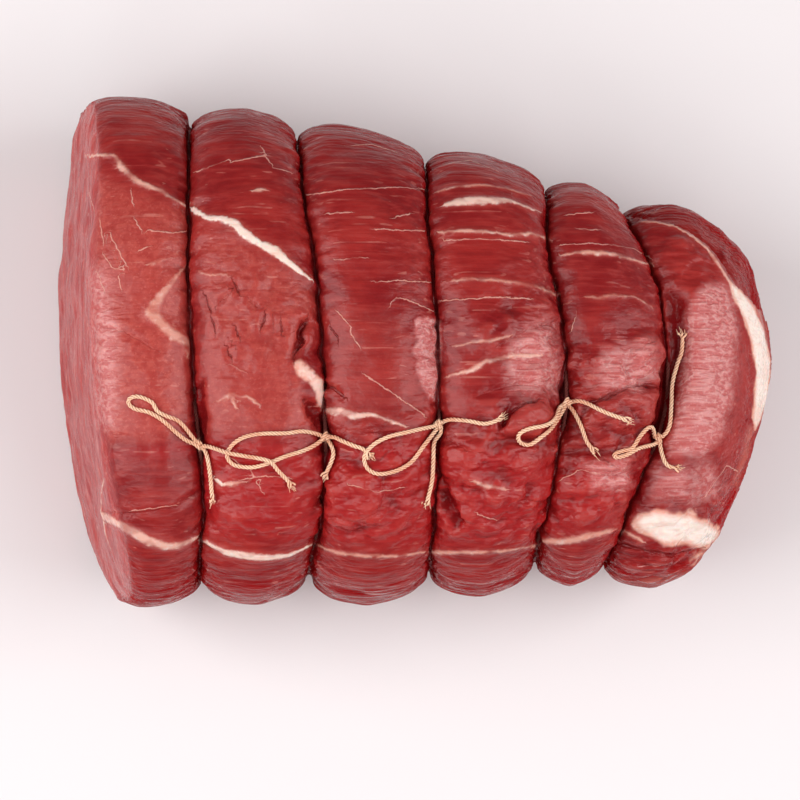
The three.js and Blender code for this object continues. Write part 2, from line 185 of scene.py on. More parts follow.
# Solid fat by its outline in pixels, with how white it is and its soft edge.
FAT_PATCHES = [
    (1.0, 8, [(630, 524), (640, 513), (655, 508), (672, 511), (690, 512), (706, 519), (721, 530),
              (717, 545), (700, 548), (682, 544), (664, 546), (652, 540), (640, 531)]),
    (.75, 4, [(290, 361), (300, 359), (312, 366), (321, 378), (326, 396), (325, 412), (319, 408),
              (314, 394), (306, 384), (296, 375)]),
    (1.0, 3, [(727, 281), (741, 291), (754, 308), (764, 332), (770, 362), (768, 392), (760, 420),
              (754, 431), (751, 420), (753, 396), (754, 370), (750, 345), (743, 320), (733, 299)]),
    (.55, 6, [(690, 548), (714, 546), (718, 556), (700, 572), (688, 566)]),
]

# Bulges and hollows by their outline in pixels, with their height in millimetres and soft edge.
SWELLS = [
    (3.4, 11, [(324, 478), (345, 468), (372, 472), (384, 492), (376, 516), (350, 524), (326, 514)]),
    (1.4, 8, [(441, 452), (462, 446), (478, 458), (476, 480), (455, 486), (442, 476)]),
    (3.0, 7, [(506, 414), (520, 404), (542, 402), (552, 414), (540, 432), (516, 436), (506, 428)]),
    (2.6, 9, [(632, 338), (655, 336), (668, 350), (658, 366), (636, 372)]),
    (1.6, 10, [(586, 398), (618, 390), (656, 396), (655, 420), (632, 428), (600, 416)]),
    (1.4, 10, [(580, 462), (620, 456), (632, 482), (610, 500), (582, 492)]),
    (1.3, 8, [(330, 420), (362, 424), (376, 436), (352, 452), (330, 446)]),
    (1.2, 10, [(470, 330), (520, 318), (548, 332), (520, 350), (478, 352)]),
    (-3.4, 7, [(668, 292), (684, 298), (690, 330), (688, 372), (678, 408), (664, 436), (655, 430),
               (662, 392), (670, 350)]),
    (-2.4, 4, [(438, 492), (450, 492), (464, 522), (456, 530), (440, 512)]),
    (-2.2, 3, [(304, 398), (318, 404), (326, 418), (320, 428), (308, 416)]),
    (-1.8, 3, [(300, 318), (308, 322), (304, 340), (298, 352), (294, 344), (299, 334)]),
    (-1.6, 4, [(500, 418), (507, 408), (512, 412), (506, 428), (500, 428)]),
    (-1.6, 4, [(192, 388), (201, 380), (204, 420), (202, 438), (195, 432)]),
]

# The lower flap outside the nose's upper muscle: the line of its step by pixel, and how far it lies below.
FLAP_LINE = [(628, 216), (650, 218), (672, 222), (692, 232), (710, 246), (724, 264), (736, 284), (750, 298),
             (763, 312)]
FLAP_DROP = 3.2

# The nose's far corner is drawn in: its centre, reach and depth in millimetres.
FLAP_CORNER, FLAP_REACH, FLAP_DENT = np.array([104.0, 30.0, 38.0]), 24.0, 2.2

# Outlines in pixels, each with its strength and soft edge: silverskin and painted sheen, flat pale muscle,
# lumpy bundles, rosy membrane and muscle in fuller red.
# Some of these pale patches are real silverskin; the others are painted highlight where the wet meat catches
# the lamps, as on the cut end's rim.
SKIN_AND_SHEEN_PATCHES = [
    (1.0, 8, [(684, 312), (703, 284), (725, 281), (736, 310), (737, 350), (732, 400), (724, 436),
              (704, 458), (670, 456), (677, 385)]),
    (1.0, 3, [(415, 316), (428, 318), (441, 320), (442, 352), (440, 385), (436, 402), (428, 398),
              (421, 384), (415, 368), (418, 358), (411, 350), (419, 341), (413, 332)]),
    (.8, 14, [(515, 325), (556, 318), (566, 398), (520, 405), (495, 372)]),
    (.85, 14, [(600, 345), (655, 338), (660, 372), (640, 400), (590, 396)]),
    (.9, 8, [(584, 462), (628, 458), (634, 486), (590, 494)]),
    (.7, 10, [(650, 462), (715, 462), (728, 490), (705, 505), (648, 508)]),
    (.85, 14, [(86, 262), (106, 262), (120, 320), (124, 380), (116, 430), (94, 425)]),
]
PALE_PATCHES = [
    (1.0, 12, [(88, 172), (120, 186), (186, 212), (188, 430), (150, 440), (108, 440), (98, 330)]),
    (.65, 10, [(198, 222), (240, 235), (300, 275), (322, 300), (300, 360), (318, 436), (205, 436)]),
    (.35, 12, [(322, 300), (410, 310), (432, 420), (330, 430)]),
]
BUNDLE_PATCHES = [
    (.9, 16, [(325, 420), (432, 415), (432, 545), (318, 545)]),
    (1.0, 16, [(440, 425), (505, 395), (555, 380), (545, 540), (440, 545)]),
    (1.0, 16, [(560, 350), (662, 335), (655, 430), (625, 520), (548, 535)]),
    (.7, 16, [(470, 300), (562, 285), (565, 395), (490, 400)]),
    (.6, 14, [(205, 440), (320, 430), (310, 545), (205, 540)]),
    (.6, 10, [(610, 500), (720, 480), (715, 575), (610, 590)]),
    (.5, 14, [(640, 215), (740, 250), (700, 290), (655, 300)]),
    (.35, 12, [(205, 240), (320, 300), (315, 380), (205, 380)]),
]
ROSY_PATCHES = [
    (1.0, 4, [(736, 282), (750, 288), (764, 312), (771, 345), (764, 338), (754, 312), (744, 296)]),
    (.8, 5, [(606, 574), (640, 580), (694, 568), (690, 584), (640, 600), (606, 592)]),
    (.7, 4, [(748, 425), (757, 425), (750, 455), (738, 490), (730, 486), (742, 452)]),
]
RED_PATCHES = [
    (1.0, 16, [(110, 455), (195, 455), (200, 535), (310, 540), (430, 545), (540, 540), (610, 520),
               (640, 470), (560, 460), (430, 440), (330, 450), (210, 440)]),
]


def linear(hex_colour):
    """An sRGB hex colour as linear red, green, blue and alpha."""
    parts = [int(hex_colour[i:i + 2], 16) / 255 for i in (1, 3, 5)]
    return [c / 12.92 if c <= 0.04045 else ((c + 0.055) / 1.055) ** 2.4 for c in parts] + [1.0]


def add(nodes, kind, inputs=None, out=0, **settings):
    """Adds a node, makes its settings, sets or links its inputs, and gives one of its outputs."""
    made = nodes.nodes.new(kind)
    for key, value in settings.items():
        setattr(made, key, value)
    for key, value in (inputs or {}).items():
        if isinstance(value, bpy.types.NodeSocket):
            nodes.links.new(value, made.inputs[key])
        else:
            made.inputs[key].default_value = value
    return made.outputs[out] if made.outputs else made


# Camera

elevation = math.radians(CAMERA_ELEVATION)
FORWARD = np.array([0.0, math.cos(elevation), -math.sin(elevation)])
UPWARD = np.array([0.0, math.sin(elevation), math.cos(elevation)])
SIDEWAYS = np.array([1.0, 0.0, 0.0])
FOCAL_PIXELS = CAMERA_DISTANCE / PIXEL_AT_AIM
CAMERA_PLACE = CAMERA_AIM - CAMERA_DISTANCE * FORWARD

camera_data = bpy.data.cameras.new("camera")
camera_data.sensor_width = SENSOR
camera_data.lens = SENSOR * FOCAL_PIXELS / IMAGE_SIDE
camera_data.clip_end = 10
camera = bpy.data.objects.new("camera", camera_data)
camera.location = CAMERA_PLACE / 1000
camera.rotation_euler = Vector(FORWARD).to_track_quat("-Z", "Y").to_euler()
bpy.context.collection.objects.link(camera)
bpy.context.scene.camera = camera


# Shape of the joint, from its measures

def spline(values, share):
    """Smooth curve through equally spaced values, for shares from 0 to 1."""
    values = np.asarray(values, float)
    place = np.clip(share, 0, 1) * (len(values) - 1)
    i = np.minimum(place.astype(int), len(values) - 2)
    w = place - i
    before, a = values[np.maximum(i - 1, 0)], values[i]
    b, after = values[i + 1], values[np.minimum(i + 2, len(values) - 1)]
    leave, arrive = (b - before) / 2, (after - a) / 2
    cubic, square = 2 * a - 2 * b + leave + arrive, 3 * b - 3 * a - 2 * leave - arrive
    return cubic * w ** 3 + square * w ** 2 + leave * w + a


def groove_floor(tie, angle, lift):
    """Points lifted off the floor of a tie's groove, at angles round the joint."""
    crossings = list(tie["crossings"])
    back = np.linspace(crossings[-1], crossings[0], 7)[1:]
    x = spline(crossings + list(back), (angle / (2 * math.pi)) % 1.0)
    along = (x - FIRST_STATION) / STATION_SPAN
    far, near, top = spline(FAR_REACH, along), spline(NEAR_REACH, along), spline(TOP_HEIGHT, along)
    run = np.clip((x - NOSE_START_X) / (NOSE_TIP_X - NOSE_START_X), 0, 1)
    share = np.sqrt(1 - run ** 2)
    cos, sin = np.cos(angle), np.sin(angle)
    half_width = (far + near) / 2 * share
    centre_y = (far - near) / 2 + (NOSE_TIP_Y - (far - near) / 2) * run ** 3
    centre_z = BELLY_HEIGHT + (NOSE_TIP_Z - BELLY_HEIGHT) * run
    half_height = np.where(sin >= 0, top - BELLY_HEIGHT, BELLY_HEIGHT + UNDERSIDE_SAG) * share
    power = 2 / np.where(sin >= 0, TOP_ROUNDNESS, UNDERSIDE_ROUNDNESS)
    y = centre_y + half_width * np.sign(cos) * np.abs(cos) ** power
    z = centre_z + half_height * np.sign(sin) * np.abs(sin) ** power
    out_y = np.sign(cos) * np.abs(cos) ** (2 - power) / half_width
    out_z = np.sign(sin) * np.abs(sin) ** (2 - power) / half_height
    size = np.hypot(out_y, out_z)
    below = z <= 0
    out_y, out_z = np.where(below, 0, out_y / size), np.where(below, -1, out_z / size)
    side = np.where(cos > 0, LOBE_FALL["far"], LOBE_FALL["near"])
    end = np.where(sin > 0, LOBE_FALL["top"], LOBE_FALL["under"])
    fall = side + (end - side) * sin ** 2
    rise = lift - (fall + GROOVE_CUT_DEPTH) * np.sqrt(share)
    points = np.stack([x, y + out_y * rise, np.maximum(z, 0) + out_z * rise], -1)
    return points + CENTRING


TURN = np.radians(np.arange(0, 360, 1.5))
GROOVES = [groove_floor(tie, TURN, 0.0) for tie in TIES]
KNOTS = [groove_floor(tie, np.radians([tie["knot"]]), 0.0)[0] for tie in TIES]


def grain(points, size, seed):
    """Smooth noise from -1 to 1 at points, with a size in millimetres along each axis."""
    places = points / np.asarray(size, float) + seed * 17.3
    return np.array([noise.noise(Vector(p)) for p in places])


# Meat: the joint's solid remeshed evenly, then worked over as with a sculpting tool

def copy_of(node, name):
    """A merged copy of a node of the frame, selected and active."""
    bpy.ops.object.select_all(action="DESELECT")
    piece = bpy.data.objects.new(name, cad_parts[node].data.copy())
    piece.data.name = name
    piece.data.materials.clear()
    bpy.context.collection.objects.link(piece)
    piece.select_set(True)
    bpy.context.view_layer.objects.active = piece
    bpy.ops.object.mode_set(mode="EDIT")
    bpy.ops.mesh.select_all(action="SELECT")
    bpy.ops.mesh.remove_doubles(threshold=1e-5)
    bpy.ops.object.mode_set(mode="OBJECT")
    return piece


def finish_with(piece, kind, **settings):
    """Adds a modifier to a piece and applies it."""
    modifier = piece.modifiers.new(kind.lower(), kind)
    for key, value in settings.items():
        setattr(modifier, key, value)
    bpy.context.view_layer.objects.active = piece
    bpy.ops.object.modifier_apply(modifier=modifier.name)


def points_of(piece):
    flat = np.empty(len(piece.data.vertices) * 3)
    piece.data.vertices.foreach_get("co", flat)
    return flat.reshape(-1, 3) * 1000


def set_points(piece, points):
    piece.data.vertices.foreach_set("co", (points / 1000).ravel())
    piece.data.update()


def normals_of(piece):
    flat = np.empty(len(piece.data.vertices) * 3)
    piece.data.vertex_normals.foreach_get("vector", flat)
    return flat.reshape(-1, 3)


def evened(piece, values, passes):
    """Columns of values for a piece's points, averaged again and again with their neighbours."""
    ends = np.empty(len(piece.data.edges) * 2, int)
    piece.data.edges.foreach_get("vertices", ends)
    ends = ends.reshape(-1, 2)
    here, there = np.concatenate([ends[:, 0], ends[:, 1]]), np.concatenate([ends[:, 1], ends[:, 0]])
    share = 1 + np.bincount(here, minlength=len(values))[:, None]
    for _ in range(passes):
        around = np.stack([np.bincount(here, column[there], len(values)) for column in values.T], -1)
        values = (values + around) / share
    return values


def tree_of(piece):
    return BVHTree.FromPolygons(points_of(piece).tolist(), [p.vertices[:] for p in piece.data.polygons])


def on_surface(tree, marks):
    """Points where the photograph's pixels meet the piece, with any further value of each mark."""
    marks = np.array(marks, float)
    stops = np.concatenate([[0], np.cumsum(np.hypot(*np.diff(marks[:, :2], axis=0).T))])
    fine = np.append(np.arange(0, stops[-1], 1.5), stops[-1])
    found = []
    for mark in np.stack([np.interp(fine, stops, column) for column in marks.T], -1):
        right, up = mark[0] - IMAGE_SIDE / 2, IMAGE_SIDE / 2 - mark[1]
        ray = FORWARD + (SIDEWAYS * right + UPWARD * up) / FOCAL_PIXELS
        hit = tree.ray_cast(Vector(CAMERA_PLACE), Vector(ray).normalized())[0]
        if hit is not None:
            found.append([*hit, *mark[2:]])
    return np.array(found)


def beside(points, normals, line, reach):
    """Distance of each point from a line, signed by its side and 99 beyond reach, and the nearest mark."""
    distance, nearest = np.full(len(points), 99.0), np.zeros(len(points), int)
    low, high = line[:, :3].min(0) - reach, line[:, :3].max(0) + reach
    close = np.flatnonzero(np.all((points > low) & (points < high), axis=1))
    if not len(close):
        return distance, nearest
    gaps = np.linalg.norm(points[close, None] - line[None, :, :3], axis=2)
    mark = gaps.argmin(1)
    ahead = np.gradient(line[:, :3], axis=0)
    left = np.cross(normals[close], ahead[mark])
    side = np.where(np.sum((points[close] - line[mark, :3]) * left, axis=1) < 0, -1.0, 1.0)
    nearest[close] = mark
    distance[close] = gaps.min(1) * side
    return distance, nearest


def inside(points, outline, soft):
    """1 inside a pixel outline, fading to 0 across its edge over soft pixels."""
    corners = np.array(outline, float)
    ahead = (points - CAMERA_PLACE) @ FORWARD
    px = IMAGE_SIDE / 2 + FOCAL_PIXELS * ((points - CAMERA_PLACE) @ SIDEWAYS) / ahead
    py = IMAGE_SIDE / 2 - FOCAL_PIXELS * ((points - CAMERA_PLACE) @ UPWARD) / ahead
    within = np.zeros(len(points), bool)
    edge = np.full(len(points), 1e9)
    for (ax, ay), (bx, by) in zip(corners, np.roll(corners, -1, axis=0)):
        run, rise = bx - ax, by - ay
        crosses = (ay > py) != (by > py)
        within ^= crosses & (px < run * (py - ay) / (rise + 1e-9) + ax)
        share = np.clip(((px - ax) * run + (py - ay) * rise) / (run ** 2 + rise ** 2), 0, 1)
        edge = np.minimum(edge, np.hypot(px - ax - share * run, py - ay - share * rise))
    return np.clip(0.5 + np.where(within, edge, -edge) / (2 * soft), 0, 1)


def patches(points, shown, outlines):
    """How strongly any of several pixel outlines covers each point that shows from above."""
    covers = [strength * inside(points, outline, soft) for strength, soft, outline in outlines]
    return np.maximum.reduce(covers) * shown


def keep(piece, name, values):
    """Stores a value for each point of the piece for its material to read."""
    attribute = piece.data.attributes.new(name, "FLOAT", "POINT")
    attribute.data.foreach_set("value", np.asarray(values, np.float32))


meat = copy_of("meat", "beef_joint")
finish_with(meat, "REMESH", mode="VOXEL", voxel_size=MESH_STEP / 1000, use_smooth_shade=True)
finish_with(meat, "SMOOTH", factor=0.5, iterations=6)

# The rim of the cut end is rounded over along its middle.
points, normals = points_of(meat), normals_of(meat)
rim = np.clip((-normals[:, 0] - 0.05) / 0.15, 0, 1) * np.clip((0.95 + normals[:, 0]) / 0.1, 0, 1)
rim *= np.clip((points[:, 2] - 45) / 15, 0, 1) * np.clip((-70 - points[:, 0]) / 5, 0, 1)
rim *= np.clip((58 - points[:, 1]) / 15, 0, 1) * np.clip((points[:, 1] + 58) / 15, 0, 1)
group = meat.vertex_groups.new(name="rim")
for i in np.flatnonzero(rim > 0.02):
    group.add([int(i)], float(rim[i]), "REPLACE")
finish_with(meat, "SMOOTH", factor=0.7, iterations=110, vertex_group="rim")
meat.vertex_groups.clear()

# Place of every point beside its nearest groove and round the joint.
points, normals = points_of(meat), normals_of(meat)
offset = np.full(len(points), 99.0)
for groove in GROOVES:
    middle = groove[:, 1].mean()
    groove_turn = np.arctan2(groove[:, 2] - BELLY_HEIGHT, groove[:, 1] - middle)
    order = np.argsort(groove_turn)
    turn = np.arctan2(points[:, 2] - BELLY_HEIGHT, points[:, 1] - middle)
    apart = points[:, 0] - np.interp(turn, groove_turn[order], groove[order, 0], period=2 * math.pi)
    offset = np.where(np.abs(apart) < np.abs(offset), apart, offset)
apart = np.abs(offset)
side_turn = np.arctan2(points[:, 2] - BELLY_HEIGHT, points[:, 1] + 8)
round_place = np.stack([side_turn * 62, points[:, 0], np.zeros(len(points))], -1)
cut_end = np.clip((-normals[:, 0] - 0.6) / 0.25, 0, 1) * (points[:, 0] < -70)
body = 1 - cut_end
standing = np.clip(points[:, 2] / 6, 0, 1)
steep = np.clip((0.75 - normals[:, 2]) / 0.5, 0, 1) * body
knot_gaps = [(points[:, 0] - k[0]) ** 2 + (points[:, 1] - k[1]) ** 2 for k in KNOTS]
near_knot = np.max([np.exp(-gap / 6.5 ** 2) for gap in knot_gaps], axis=0)
near_knot *= np.clip(normals[:, 2] * 3, 0, 1)

# Directions outwards, averaged so that they pass over the grooves.
over_grooves = evened(meat, normals, 60)
outward = over_grooves / np.linalg.norm(over_grooves, axis=1)[:, None]

# The lobes close over the twine, wander a little and crinkle along it.
gape = np.clip(0.12 + 0.5 * grain(round_place, (7, 40, 9), 13), 0.05, 0.6) + 0.4 * near_knot
gape += 0.5 * np.clip((0.3 - over_grooves[:, 2]) / 0.3, 0, 1)
close_in = np.where(apart < LIP, (LIP - gape) * (apart / LIP) ** 1.3,
                    (LIP - gape) * np.exp(-((apart - LIP) / 3.4) ** 2))
wander = 0.9 * grain(round_place, (9, 40, 9), 1) + 0.6 * grain(round_place, (3.0, 40, 9), 2)
points[:, 0] -= np.sign(offset) * close_in * body
points[:, 0] += wander * np.exp(-(apart / 4.5) ** 2) * body
crinkle = grain(round_place, (2.8, 8, 9), 3) + 0.8 * grain(round_place, (1.8, 6, 9), 4)
shown = np.clip(normals[:, 2] * 8, 0, 1)
bundle = patches(points, shown, BUNDLE_PATCHES)
lift = 0.8 * crinkle * np.exp(-((apart - 2) / (3.4 + 4 * near_knot + 3 * bundle)) ** 2) * body
shoulder = SHOULDER_FALL * np.exp(-(np.maximum(apart - 1, 0) / 3.0) ** 2)
lift += (0.9 * np.tanh((apart - 6) / 4) - shoulder) * body
lift -= 1.1 * near_knot * body
lift += (1.0 * grain(points, (30, 24, 24), 5) + 0.5 * grain(points, (12, 9, 9), 6)
         + 0.22 * grain(points, (5, 4, 4), 7))

# Long muscle fibres, clearest down the sides; across the cut end they run from far to near.
fibres = grain(round_place, (3.4, 26, 9), 8) + 0.6 * grain(round_place, (1.7, 14, 9), 9)
lift += (0.06 + 0.45 * steep) * fibres * body
lift += (0.35 * grain(points, (9, 12, 2.6), 10) + 0.5 * grain(points, (12, 14, 7), 11)) * cut_end
lift += bundle * (2.8 * np.abs(grain(points, (16, 9, 9), 14)) + 2.0 * np.abs(grain(points, (7, 4.5, 4.5), 15))
                  + 1.0 * np.abs(grain(points, (3.6, 2.6, 2.6), 16)) - 1.4)
lift -= FLAP_DENT * np.exp(-(np.linalg.norm(points - FLAP_CORNER, axis=1) / FLAP_REACH) ** 4)
# Painted shade: a mark for darker colour in sunken places, the hollows among the swells here and the flap's
# step below.
deep_shade = np.zeros(len(points))
for high, soft, outline in SWELLS:
    share = inside(points, outline, soft) * shown
    lift += high * share * share * (3 - 2 * share)
    deep_shade = np.maximum(deep_shade, share * (high < 0))
# Painted shade and highlight: how far each point lies below the average of its neighbours, which darkens the
# colour in hollows and lightens it on ridges.
cavity_and_ridge_shading = evened(meat, lift[:, None], 14)[:, 0] - lift
points += outward * (lift * standing)[:, None]
set_points(meat, points)

# Creases with raised lips, and the flap's step down from the nose's upper muscle.
tree, normals = tree_of(meat), normals_of(meat)
carve = np.zeros(len(points))
fold_side, fold_half, fold_dark = np.full(len(points), 5.0), np.full(len(points), 0.3), np.zeros(len(points))
for depth, half, marks in CREASES:
    distance, _ = beside(points, normals, on_surface(tree, marks), 6)
    carve -= depth * np.exp(-(distance / (half + 0.4)) ** 2)
    carve += 0.45 * depth * np.exp(-((np.abs(distance) - 2.2 * half - 0.9) / (1.6 * half + 0.6)) ** 2)
    nearer = np.abs(distance) < np.abs(fold_side)
    fold_side, fold_half = np.where(nearer, distance, fold_side), np.where(nearer, half, fold_half)
    # Painted shade weight: deeper creases and nicks are coloured darker than shallow ones.
    fold_dark = np.where(nearer, 0.9 if depth > 0.85 else 0.25, fold_dark)
distance, _ = beside(points, normals, on_surface(tree, FLAP_LINE), 20)
beyond = np.clip((distance + 0.4) / 1.6, 0, 1) * np.clip((18 - distance) / 14, 0, 1)
carve -= FLAP_DROP * beyond
# Painted shade along the foot of the flap's step, and over the flap beyond it.
deep_shade = np.maximum(deep_shade, np.exp(-((distance - 1.0) / 1.5) ** 2))
flap = np.clip(distance / 2, 0, 1) * np.clip((16 - distance) / 4, 0, 1) * (normals[:, 2] > 0)
deep_shade = np.maximum(deep_shade, 0.62 * flap)

# Fat seams stand a little proud, and each point keeps its place beside the nearest one.
seam_side, seam_half, seam_white = np.full(len(points), 9.0), np.full(len(points), 0.3), np.zeros(len(points))
seam_gap = np.full(len(points), 9.0)
for white, marks in FAT_SEAMS:
    line = on_surface(tree, marks)
    distance, nearest = beside(points, normals, line, 12)
    half = line[nearest, 3]
    gap = np.abs(distance) - half
    nearer = gap < seam_gap
    seam_gap = np.where(nearer, gap, seam_gap)
    seam_side = np.where(nearer, np.clip(distance, -9, 9), seam_side)
    seam_half = np.where(nearer, half, seam_half)
    seam_white = np.where(nearer, white, seam_white)
carve += 0.3 * np.clip(seam_half, 0.3, 2.0) * np.exp(-np.clip(seam_gap + 0.3, 0, 9) ** 2)

# Threads only colour the meat.
thread_side = np.full(len(points), 5.0)
for marks in THREADS:
    distance, _ = beside(points, normals, on_surface(tree, marks), 5)
    thread_side = np.where(np.abs(distance) < np.abs(thread_side), distance, thread_side)

# Patches seen from above; silverskin and painted sheen are ribbed and solid fat stands proud.
shown = np.clip(normals[:, 2] * 8, 0, 1)
skin_and_sheen, pale, red, fat_patch, rosy = (patches(points, shown, outlines) for outlines in (
    SKIN_AND_SHEEN_PATCHES, PALE_PATCHES, RED_PATCHES, FAT_PATCHES, ROSY_PATCHES))
rosy *= np.clip(normals[:, 2] * 2.5, 0, 1)
carve += (0.14 * skin_and_sheen * grain(points, (5, 1.6, 1.6), 12)
          + fat_patch * (0.6 + 0.4 * grain(points, (5, 4, 4), 17)))
points += normals * (carve * standing)[:, None]
points[:, 2] = np.maximum(points[:, 2], 0)
set_points(meat, points)

# What the material reads at each point, with places and widths in millimetres.
# Painted shade: darker colour along the grooves, wider round the knots.
groove = np.exp(-(apart / (1.5 + 2.0 * near_knot)) ** 2) * body
meat_marks = {
    "seam_side": seam_side, "seam_half": seam_half, "seam_white": seam_white,
    "seam_near": np.clip(1.6 - seam_gap, 0, 1),
    "thread_side": thread_side, "thread_near": np.clip(1.8 - np.abs(thread_side), 0, 1),
    "fold_side": fold_side, "fold_half": fold_half,
    "fold_near": np.clip(2.5 - np.abs(fold_side), 0, 1) * fold_dark,
    "fat_patch": fat_patch, "skin_and_sheen": skin_and_sheen, "pale": pale, "red": red, "rosy": rosy, "deep_shade": deep_shade,
    "cavity_and_ridge_shading": cavity_and_ridge_shading, "bundle": bundle, "groove": groove, "cut_end": cut_end, "steep": steep,
    "wall": steep * np.clip((0.5 - np.abs(outward[:, 0])) / 0.35, 0, 1),
    "side": np.maximum.reduce([steep, 0.45 * cut_end, 0.8 * deep_shade]),
}
for name, values in meat_marks.items():
    keep(meat, name, values)
bpy.ops.object.shade_smooth()

# Raw beef: wet red muscle that lets light in, streaked along its fibres, with cream fat and silverskin. Its
# colour also carries painted shade in grooves, creases, hollows and on steep sides, and painted sheen and
# highlights.
beef = bpy.data.materials.new("raw_beef")
beef.use_nodes = True
nodes = beef.node_tree
nodes.nodes.clear()
place = add(nodes, "ShaderNodeTexCoord", out="Object")
read = {name: add(nodes, "ShaderNodeAttribute", out="Fac", attribute_name=name) for name in meat_marks}

# Patterns by the size of their features in millimetres along X, Y and Z, and by their finer layers.
# Muscle fibres are thinner than 0.1 mm, too fine to show, so all that follows them is drawn coarser.
look = {}
for name, size, layers in [
        ("cloud", (26, 18, 18), 3), ("blotch", (7, 6, 6), 2), ("speckle", (2.0, 2.0, 2.0), 2),
        ("fine", (0.8, 0.8, 0.8), 1), ("streak", (24, 1.7, 1.7), 2), ("ridge", (15, 1.2, 1.2), 1),
        ("vein", (60, 1.5, 1.5), 1), ("far_to_near", (3, 8, 1.5), 2), ("swell", (4.5, 2.6, 2.6), 1)]:
    scaled = add(nodes, "ShaderNodeMapping", {"Vector": place, "Scale": [1000 / s for s in size]})
    look[name] = add(nodes, "ShaderNodeTexNoise", {
        "Vector": scaled, "Scale": 1.0, "Detail": layers, "Roughness": 0.55, "Distortion": 0.3})

# Edges of seams, threads and creases waver, and wide seams have softer edges.
sway = add(nodes, "ShaderNodeMath", {0: look["speckle"], 1: 1.3, 2: -0.65}, operation="MULTIPLY_ADD")
tear = add(nodes, "ShaderNodeMath", {0: look["blotch"], 1: 1.4, 2: -0.7}, operation="MULTIPLY_ADD")
tear = add(nodes, "ShaderNodeMath", {0: tear, 1: read["seam_half"], 2: sway}, operation="MULTIPLY_ADD")
gaps = {}
for name, shift in [("seam_side", tear), ("thread_side", sway), ("fold_side", sway)]:
    shifted = add(nodes, "ShaderNodeMath", {0: read[name], 1: shift}, operation="ADD")
    gaps[name] = add(nodes, "ShaderNodeMath", {0: shifted}, operation="ABSOLUTE")
depth = add(nodes, "ShaderNodeMath", {0: read["seam_half"], 1: gaps["seam_side"]}, operation="SUBTRACT")
softness = add(nodes, "ShaderNodeMath", {0: read["seam_white"], 1: -0.55, 2: 0.75}, operation="MULTIPLY_ADD")
softness = add(nodes, "ShaderNodeMath", {0: read["seam_half"], 1: 0.3, 2: softness}, operation="MULTIPLY_ADD")
depth = add(nodes, "ShaderNodeMath", {0: depth, 1: softness}, operation="DIVIDE")
seam = add(nodes, "ShaderNodeMapRange", {"Value": depth, "From Min": -1.0, "From Max": 0.9},
           interpolation_type="SMOOTHSTEP")
worn = add(nodes, "ShaderNodeMapRange", {
    "Value": look["blotch"], "From Min": 0.32, "From Max": 0.52, "To Min": 0.3})
worn = add(nodes, "ShaderNodeMath", {0: worn, 1: read["seam_white"]}, operation="MAXIMUM")
solid = add(nodes, "ShaderNodeMapRange", {
    "Value": read["seam_white"], "From Min": 0.2, "From Max": 0.8, "To Min": 0.5})
for share in (read["seam_near"], worn, solid):
    seam = add(nodes, "ShaderNodeMath", {0: seam, 1: share}, operation="MULTIPLY")
patch = add(nodes, "ShaderNodeMath", {0: look["blotch"], 1: 0.9, 2: -0.45}, operation="MULTIPLY_ADD")
patch = add(nodes, "ShaderNodeMath", {0: patch, 1: read["fat_patch"]}, operation="ADD")
patch = add(nodes, "ShaderNodeMapRange", {"Value": patch, "From Min": 0.25, "From Max": 0.8},
            interpolation_type="SMOOTHSTEP")
thread = add(nodes, "ShaderNodeMapRange", {
    "Value": gaps["thread_side"], "From Min": 0.05, "From Max": 0.32, "To Min": 1.0, "To Max": 0.0})
for share in (read["thread_near"], worn):
    thread = add(nodes, "ShaderNodeMath", {0: thread, 1: share}, operation="MULTIPLY")
crease = add(nodes, "ShaderNodeMath", {0: gaps["fold_side"], 1: read["fold_half"]}, operation="DIVIDE")
crease = add(nodes, "ShaderNodeMapRange", {
    "Value": crease, "From Min": 0.3, "From Max": 1.3, "To Min": 1.0, "To Max": 0.0},
    interpolation_type="SMOOTHSTEP")
crease = add(nodes, "ShaderNodeMath", {0: crease, 1: read["fold_near"]}, operation="MULTIPLY")
hair = add(nodes, "ShaderNodeMapRange", {"Value": look["vein"], "From Min": 0.6, "From Max": 0.7})
# Painted highlight: thin pale lines along the steep walls.
side_streak_highlight = add(nodes, "ShaderNodeMath", {0: hair, 1: read["wall"]}, operation="MULTIPLY")
# Silverskin and painted sheen patches, with wavering edges.
skin_and_sheen_edge = add(nodes, "ShaderNodeMath", {0: look["blotch"], 1: 0.7, 2: -0.35}, operation="MULTIPLY_ADD")
skin_and_sheen_edge = add(nodes, "ShaderNodeMath", {0: read["skin_and_sheen"], 1: skin_and_sheen_edge}, operation="ADD")
top_hair = add(nodes, "ShaderNodeMath", {0: hair, 1: look["blotch"]}, operation="MULTIPLY")
blush = add(nodes, "ShaderNodeMath", {0: read["seam_near"], 1: read["seam_white"]}, operation="MULTIPLY")

